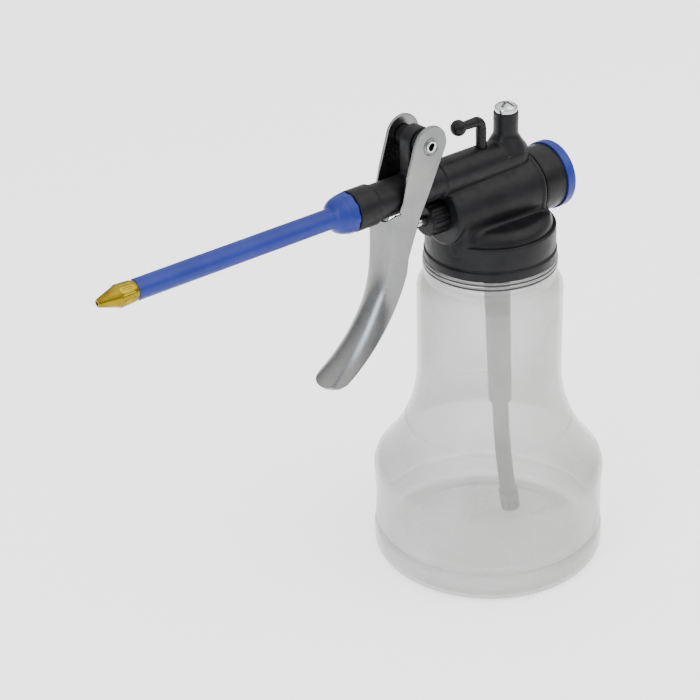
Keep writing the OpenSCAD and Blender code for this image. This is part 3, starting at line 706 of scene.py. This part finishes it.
def screw_shape(p):
    base = POST_TOP_Z + 0.5
    head_top = highest("valve_screw")[2]
    rise = head_top - base - 0.9
    curve = (3.6 ** 2 + rise ** 2) / (2 * rise)
    dome = np.maximum(ball(p, (POST_X, 0, head_top - curve), curve), base - p[2])
    dome = both(dome, np.hypot(p[0] - POST_X, p[1]) - 3.6, 0.3)
    c, s = math.cos(math.radians(20)), math.sin(math.radians(20))
    u = (p[0] - POST_X) * c + p[1] * s
    v = -(p[0] - POST_X) * s + p[1] * c
    depth = base + 0.6 - p[2]
    for a, b in ((u, v), (v, u)):
        slot = np.maximum(np.maximum(np.abs(a) - 2.7, np.abs(b) - 0.5), depth)
        dome = without(dome, slot, 0.1)
    shank = bar_z(p, POST_X, 0, lowest("valve_screw")[2], base + 0.2, 2.08)
    return either(dome, shank)


def screw():
    low, high = lowest("valve_screw") - 0.3, highest("valve_screw") + 0.3
    moulded("valve_screw_cross", screw_shape, low, high, 0.12, "head", "steel", ("valve_screw",))


# ---------------------------------------------------------------- trigger

SHEET = 0.9
BEND_R = 2.6
WEB_HOLLOW_R = 6.3
WEB_BEND_Z = 128.0
ARC_R = 52.0
ARC_END = 57.5
ARC_C = (WEB_X + ARC_R, WEB_BEND_Z)


def dish_depth(angle):
    """How far the channel's edges stand behind its crown, at an angle of the arc."""
    return np.clip(1.9 + 0.1 * (ARC_END - angle), 1.9, 6.4)


def inside_outline(outline, x, z):
    """Signed distance to a closed outline in the XZ plane, negative inside."""
    best = np.full(x.shape, 1e9)
    sign = np.ones(x.shape)
    pts = np.array(outline, float)
    for (x0, z0), (x1, z1) in zip(pts, np.roll(pts, -1, axis=0)):
        dx, dz = x1 - x0, z1 - z0
        t = np.clip(((x - x0) * dx + (z - z0) * dz) / (dx * dx + dz * dz), 0, 1)
        best = np.minimum(best, np.hypot(x - x0 - t * dx, z - z0 - t * dz))
        crosses = ((z0 > z) != (z1 > z)) & (x < (x1 - x0) * (z - z0) / (z1 - z0 + 1e-12) + x0)
        sign = np.where(crosses, -sign, sign)
    return best * sign


def front_gap(x, z):
    """Distance in front of the web's front face, negative behind it."""
    return np.where(z > WEB_BEND_Z, x - WEB_X, ARC_R - np.hypot(x - ARC_C[0], z - ARC_C[1]))


def trigger_side():
    """Outline of the lever from the side: round ears, straight flanges, then the arc to the tip."""
    points = arc((PIVOT[0], PIVOT[2] + 0.3), 5.95, 200, 15, 18)
    points += [(38.1, 144.3), (39.8, 137.2), (41.6, 134.2), (WEB_X + 0.3, 132.4)]
    points += arc(ARC_C, ARC_R - 0.3, 180, 180 + ARC_END, 20)
    for angle in np.linspace(ARC_END, 14, 15):
        reach = ARC_R + float(dish_depth(angle))
        points.append((ARC_C[0] - reach * math.cos(math.radians(angle)),
                       ARC_C[1] - reach * math.sin(math.radians(angle))))
    return points + [(37.9, 119.3), (35.9, 124.5), (33.5, 130.6), (30, 137.2), (25.2, 147.4)]


def trigger_shape(p):
    x, y, z = p
    gap = front_gap(x, z)
    # a square-shouldered channel by the barrel that eases into a shallow dish at the tip
    channel = both(gap, np.abs(y) - EAR_OUT_Y, BEND_R)
    depth = dish_depth(np.degrees(np.arctan2(ARC_C[1] - z, ARC_C[0] - x)))
    curve = (EAR_OUT_Y ** 2 + depth ** 2) / (2 * depth)
    dish = np.hypot(gap + curve, y) - curve
    blend = np.clip((127 - z) / 24, 0, 1)
    blend = blend * blend * (3 - 2 * blend)
    outer = channel * (1 - blend) + dish * blend
    sheet = np.abs(outer + SHEET / 2) - SHEET / 2
    # the web ends under the barrel, and above it only the two flat ears are left
    web_top = SPOUT_Z - np.sqrt(np.maximum(WEB_HOLLOW_R ** 2 - y ** 2, 3.1 ** 2))
    sheet = np.maximum(sheet, z - web_top)
    ears = np.abs(np.abs(y) - EAR_OUT_Y + SHEET / 2) - SHEET / 2
    ears = np.maximum(ears, np.maximum(131 - z, gap + BEND_R))
    solid = both(np.minimum(sheet, ears), inside_outline(trigger_side(), x, z), 0.15)
    # the tip is rounded like a spoon
    lean = math.radians(ARC_END)
    tip_x, tip_z = ARC_C[0] - ARC_R * math.cos(lean), ARC_C[1] - ARC_R * math.sin(lean)
    along = (x - tip_x) * math.sin(lean) - (z - tip_z) * math.cos(lean) + EAR_OUT_Y
    rounded = np.where(along > 0, np.hypot(along, y) - EAR_OUT_Y, np.abs(y) - EAR_OUT_Y)
    solid = np.maximum(solid, rounded)
    # pin hole, with a pressed ring round the rivet
    solid = without(solid, bar_y(p, PIVOT[0], PIVOT[2], 9, PIN_R), 0.1)
    ring = np.abs(np.hypot(x - PIVOT[0], z - PIVOT[2]) - 2.25) - 0.3
    return without(solid, np.maximum(ring, EAR_OUT_Y - 0.3 - np.abs(y)), 0.1)


def trigger():
    low, high = lowest("trigger_lever") - 0.6, highest("trigger_lever") + 0.6
    moulded("trigger_pressed", trigger_shape, low, high, 0.26, "trigger", "zinc", ("trigger_lever",))
    # hollow rivet with rolled ends
    half = highest("pivot_pin")[1]
    outline = softened([(1.1, -half + 0.3, 0.2), (1.25, -half, 0.1), (1.75, -half, 0.3),
                        (1.8, -half + 0.5, 0.1),
                        (PIN_R, -half + 0.55, 0), (PIN_R, half - 0.55, 0), (1.8, half - 0.5, 0.1),
                        (1.75, half, 0.3), (1.25, half, 0.1), (1.1, half - 0.3, 0.2)])
    rivet = turned(outline, 64, "y", (PIVOT[0], 0, PIVOT[2]))
    piece("pivot_rivet", *rivet, "trigger", "steel", ("pivot_pin",), 60)


# ---------------------------------------------------------------- spout and tip

def spout():
    tube_r = 3.1
    base_x = BARREL_FRONT_X + 0.2
    rim_x = base_x + 2.8
    dome = arc((rim_x - 0.1, 0.9), 4.75, 84, 34, 10)
    start_x = lowest("spout")[0]
    outline = [(1.4, start_x), (SOCKET_R - 0.05, start_x), (SOCKET_R - 0.05, base_x), (5.5, base_x),
               (5.85, base_x + 0.35), (5.85, rim_x - 0.3), (5.7, rim_x)]
    outline += [(r, x) for x, r in dome]
    outline += [(3.3, rim_x + 4.05), (3.16, rim_x + 4.4), (tube_r, rim_x + 4.9), (tube_r, SPOUT_END_X - 0.3),
                (tube_r - 0.3, SPOUT_END_X), (2.0, SPOUT_END_X), (2.0, SPOUT_END_X - 8),
                (1.4, SPOUT_END_X - 8)]

    def lobes(x, radius, angle):
        if radius < 4.5 or x > rim_x - 0.2:
            return 0
        fade = min(1, max(0, (rim_x - 0.2 - x) / 1.6))
        return fade * 0.38 * (0.5 + 0.5 * math.cos(10 * angle))

    piece("spout_moulded", *turned(rows_of(outline, 0.8), 160, "x", (0, 0, SPOUT_Z), lobes), "head",
          "blue_plastic", ("spout",), 40)


def tip():
    x0 = SPOUT_END_X + 0.03
    band_x, wide_x = x0 + 0.9, x0 + 5.6
    shank_x = lowest("nozzle_tip")[0]
    outline = [(0.9, shank_x), (1.95, shank_x), (1.95, x0), (2.8, x0), (2.95, x0 + 0.2), (3.0, band_x),
               (3.12, band_x + 0.3), (3.34, wide_x - 0.4), (3.3, wide_x), (3.05, wide_x + 0.35),
               (1.3, TIP_END_X - 0.4), (1.05, TIP_END_X), (0.55, TIP_END_X), (0.5, TIP_END_X - 0.3),
               (0.5, TIP_END_X - 2), (0.9, TIP_END_X - 2.5)]

    def flutes(x, radius, angle):
        if x < band_x + 0.2 or x > wide_x - 0.2 or radius < 2:
            return 0
        ends = min(1, (x - band_x - 0.2) / 0.5, (wide_x - 0.2 - x) / 0.5)
        return -0.17 * ends * max(0, math.cos(14 * angle)) ** 0.6

    piece("nozzle_tip_turned", *turned(rows_of(outline, 0.4), 168, "x", (0, 0, SPOUT_Z), flutes), "nozzle",
          "brass", ("nozzle_tip",), 40)


# ---------------------------------------------------------------- stage

def area_light(name, place, target, size, power, colour=(1, 1, 1)):
    light = bpy.data.lights.new(name, "AREA")
    light.shape = "RECTANGLE"
    light.size, light.size_y = size
    light.energy = power
    light.color = colour
    obj = bpy.data.objects.new(name, light)
    bpy.context.scene.collection.objects.link(obj)
    obj.location = place
    obj.rotation_mode = "QUATERNION"
    obj.rotation_quaternion = (Vector(target) - Vector(place)).to_track_quat("-Z", "Y")


def stage():
    mesh = bpy.data.meshes.new("floor")
    reach = 3.0
    corners = [(-reach, -reach, 0), (reach, -reach, 0), (reach, reach, 0), (-reach, reach, 0)]
    mesh.from_pydata(corners, [], [(0, 1, 2, 3)])
    floor = bpy.data.objects.new("floor", mesh)
    bpy.context.scene.collection.objects.link(floor)
    floor.location.z = -0.0002
    pale = shader("pale_floor", Roughness=0.9)
    principled_of(pale).inputs["Base Color"].default_value = (0.92, 0.92, 0.92, 1)
    principled_of(pale).inputs["Emission Color"].default_value = (1, 1, 1, 1)
    principled_of(pale).inputs["Emission Strength"].default_value = 1.0
    mesh.materials.append(pale)
    sky()
    centre = (0.03, 0, 0.1)
    area_light("key", (-0.25, 0.35, 0.75), centre, (0.8, 0.8), 4)
    area_light("side", (0.75, 0.15, 0.4), centre, (0.25, 0.6), 3.5, (0.8, 0.9, 1))


def sky():
    """A soft studio: bright overhead and greyer towards the horizon."""
    world = bpy.data.worlds.new("studio")
    bpy.context.scene.world = world
    world.use_nodes = True
    tree = world.node_tree
    background = tree.nodes["Background"]
    background.inputs["Strength"].default_value = 1.55
    place = tree.nodes.new("ShaderNodeTexCoord")
    split = tree.nodes.new("ShaderNodeSeparateXYZ")
    ramp = tree.nodes.new("ShaderNodeValToRGB")
    ramp.color_ramp.interpolation = "EASE"
    ramp.color_ramp.elements[0].position = 0.05
    ramp.color_ramp.elements[0].color = (0.42, 0.43, 0.45, 1)
    ramp.color_ramp.elements[1].position = 0.85
    ramp.color_ramp.elements[1].color = (1.28, 1.27, 1.25, 1)
    tree.links.new(place.outputs["Generated"], split.inputs["Vector"])
    tree.links.new(split.outputs["Z"], ramp.inputs["Fac"])
    tree.links.new(ramp.outputs["Color"], background.inputs["Color"])


def camera():
    """The photograph's view: azimuth, elevation and roll in degrees, and the eye's place."""
    azimuth, elevation, roll = (math.radians(v) for v in (142.456, 29.384, -1.693))
    back = Vector((math.sin(azimuth) * math.cos(elevation), -math.cos(azimuth) * math.cos(elevation),
                   math.sin(elevation)))
    right = Vector((math.cos(azimuth), math.sin(azimuth), 0))
    up = back.cross(right)
    right, up = (right * math.cos(roll) + up * math.sin(roll), up * math.cos(roll) - right * math.sin(roll))
    data = bpy.data.cameras.new("camera")
    data.sensor_width = 36
    data.lens = 102.857
    obj = bpy.data.objects.new("camera", data)
    bpy.context.scene.collection.objects.link(obj)
    obj.matrix_world = Matrix.Translation(Vector((0.37171, 0.41121, 0.38398))) @ Matrix(
        (right, up, back)).transposed().to_4x4()
    data.clip_start, data.clip_end = 0.01, 20
    bpy.context.scene.camera = obj


def carried_over():
    """The CAD nodes that stay get the material of their slot."""
    slots = {part["node"]: part["material_slot"] for part in frame["record"]["subparts"]}
    for name, obj in frame["nodes"].items():
        obj.data.materials.clear()
        obj.data.materials.append(MATERIALS[slots[name]])


carried_over()
bottle()
head()
end_cap()
gland()
shutoff()
screw()
trigger()
spout()
tip()
stage()
camera()

bpy.context.view_layer.update()
